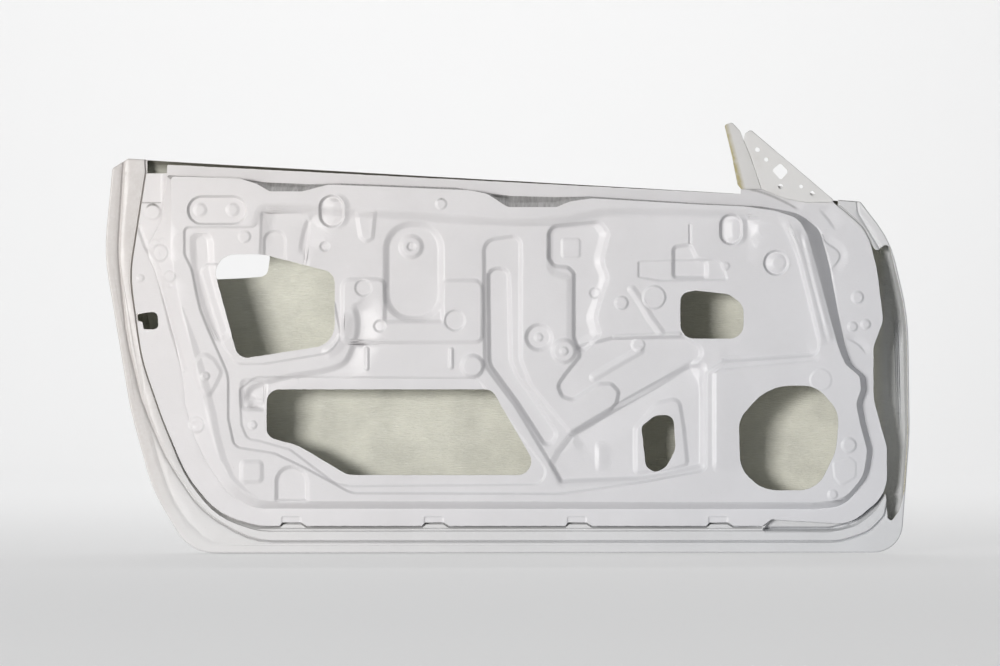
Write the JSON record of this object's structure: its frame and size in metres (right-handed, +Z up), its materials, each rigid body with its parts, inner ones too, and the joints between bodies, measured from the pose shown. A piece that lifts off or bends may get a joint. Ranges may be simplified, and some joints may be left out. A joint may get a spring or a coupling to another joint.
{
  "type": "car door shell",
  "caption": "Bare glass-fibre shell of a coupe's left door: crowned outer skin bonded to an embossed inner panel with service openings, a speaker opening and a mirror plate.",
  "frame": {"origin": "on the flat front flange of the inner panel, where the upper hinge is fixed", "axes": "+X forward along the car, +Y out of the car, +Z up"},
  "size_m": [1.288, 0.1246, 0.6892],
  "materials": {
    "skin_gelcoat": "white gelcoat, raw laminate inside",
    "panel_gelcoat": "white gelcoat, slightly dusty",
    "plate_gelcoat": "white gelcoat, rubbed down",
    "strip_gelcoat": "white gelcoat with a yellowed rough edge"
  },
  "bodies": {
    "root": {"outer_skin": "skin_gelcoat", "inner_panel": "panel_gelcoat", "mirror_plate": "plate_gelcoat", "channel_strip": "strip_gelcoat"}
  },
  "joints": []
}
